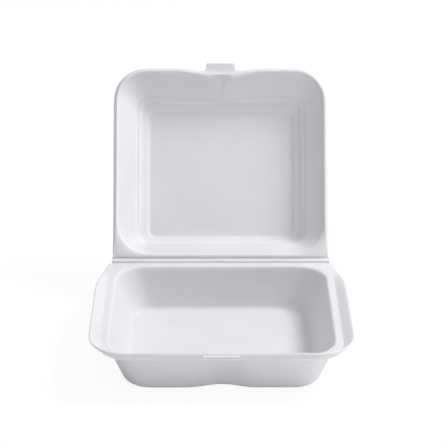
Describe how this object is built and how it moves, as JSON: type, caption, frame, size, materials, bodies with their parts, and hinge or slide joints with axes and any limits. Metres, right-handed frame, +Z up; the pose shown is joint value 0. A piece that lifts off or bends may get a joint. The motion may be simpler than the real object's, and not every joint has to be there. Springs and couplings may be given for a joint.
{
  "type": "hinged foam food container",
  "caption": "Open foam clamshell food box: rectangular tray with a raised lip and latch slot, creased hinge strip, and a stepped lid with a front tab.",
  "frame": {"origin": "centre of the underside of the tray's base, where it stands on a table", "axes": "+Z up; +Y to the back, where the hinge is; the thumb recess and latch slot face -Y; +X to the right seen from the front"},
  "size_m": [0.2356, 0.2941, 0.2115],
  "materials": {
    "foam": "matt white foam sheet with a soft sheen"
  },
  "bodies": {
    "tray": {"tray": "foam"},
    "strip": {"hinge_strip": "foam"},
    "lid": {"lid": "foam"}
  },
  "joints": [
    {"name": "tray_crease", "type": "hinge", "parent": "tray", "child": "strip", "pos_m": [0, 0.0922, 0.0418], "axis": [1, 0, 0], "range_deg": [-30, 59.3]},
    {"name": "lid_crease", "type": "hinge", "parent": "strip", "child": "lid", "pos_m": [0, 0.09722, 0.0447], "axis": [1, 0, 0], "range_deg": [-30, 59.3]}
  ],
  "couplings": [
    {"joint": "lid_crease", "follows": "tray_crease", "ratio": 1}
  ]
}
